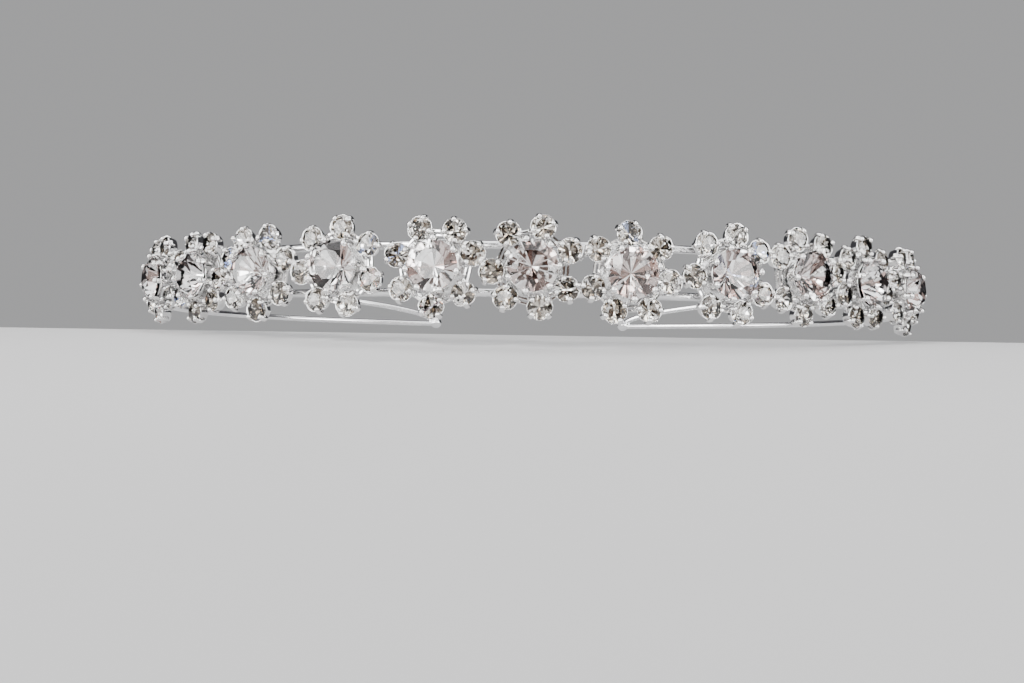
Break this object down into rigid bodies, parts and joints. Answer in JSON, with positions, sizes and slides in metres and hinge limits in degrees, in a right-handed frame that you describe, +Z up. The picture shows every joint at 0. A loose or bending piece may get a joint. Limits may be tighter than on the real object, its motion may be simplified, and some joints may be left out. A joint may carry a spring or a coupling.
{
  "type": "rhinestone hair clip",
  "caption": "Oval open-backed spring clip for a hair bun: a double silver-plated wire band carrying crystal flowers round its front, with arms that end in ball tips.",
  "frame": {"origin": "bottom centre of the whole clip's box, on the plane that the lowest petals stand on", "axes": "+X to the clip's right as seen from in front of the middle flower, +Y from the flowers to the open mouth at the back, +Z up, square to the plane of the oval"},
  "size_m": [0.119, 0.0826, 0.013],
  "materials": {
    "wire": "bright silver plating on round spring wire",
    "plate": "bright silver plating, slightly softer than the wire",
    "centre_setting": "bright silver plating with rounded claws",
    "crystal": "clear faceted crystal with a foiled back",
    "petal_setting": "bright silver plated cups holding small clear foiled crystals"
  },
  "bodies": {
    "band": {"flower_01_backplate": "plate", "flower_01_centre_crystal": "crystal", "flower_01_centre_cup": "centre_setting", "flower_01_petal_ring": "petal_setting", "flower_02_backplate": "plate", "flower_02_centre_crystal": "crystal", "flower_02_centre_cup": "centre_setting", "flower_02_petal_ring": "petal_setting", "flower_03_backplate": "plate", "flower_03_centre_crystal": "crystal", "flower_03_centre_cup": "centre_setting", "flower_03_petal_ring": "petal_setting", "flower_04_backplate": "plate", "flower_04_centre_crystal": "crystal", "flower_04_centre_cup": "centre_setting", "flower_04_petal_ring": "petal_setting", "flower_05_backplate": "plate", "flower_05_centre_crystal": "crystal", "flower_05_centre_cup": "centre_setting", "flower_05_petal_ring": "petal_setting", "flower_06_backplate": "plate", "flower_06_centre_crystal": "crystal", "flower_06_centre_cup": "centre_setting", "flower_06_petal_ring": "petal_setting", "flower_07_backplate": "plate", "flower_07_centre_crystal": "crystal", "flower_07_centre_cup": "centre_setting", "flower_07_petal_ring": "petal_setting", "flower_08_backplate": "plate", "flower_08_centre_crystal": "crystal", "flower_08_centre_cup": "centre_setting", "flower_08_petal_ring": "petal_setting", "flower_09_backplate": "plate", "flower_09_centre_crystal": "crystal", "flower_09_centre_cup": "centre_setting", "flower_09_petal_ring": "petal_setting", "flower_10_backplate": "plate", "flower_10_centre_crystal": "crystal", "flower_10_centre_cup": "centre_setting", "flower_10_petal_ring": "petal_setting", "flower_11_backplate": "plate", "flower_11_centre_crystal": "crystal", "flower_11_centre_cup": "centre_setting", "flower_11_petal_ring": "petal_setting", "lower_wire": "wire", "upper_wire": "wire"},
    "left_arm": {"left_arm_lower_wire": "wire", "left_arm_upper_wire": "wire", "left_ball_tip": "wire"},
    "right_arm": {"right_arm_lower_wire": "wire", "right_arm_upper_wire": "wire", "right_ball_tip": "wire"}
  },
  "joints": [
    {"name": "left_arm_flex", "type": "hinge", "parent": "band", "child": "left_arm", "pos_m": [-0.059, 0.00296, 0.00661], "axis": [0, 0, 1], "range_deg": [-6, 25], "stiffness_Nm_per_rad": 0.08},
    {"name": "right_arm_flex", "type": "hinge", "parent": "band", "child": "right_arm", "pos_m": [0.059, 0.00296, 0.00661], "axis": [0, 0, -1], "range_deg": [-6, 25], "stiffness_Nm_per_rad": 0.08}
  ]
}
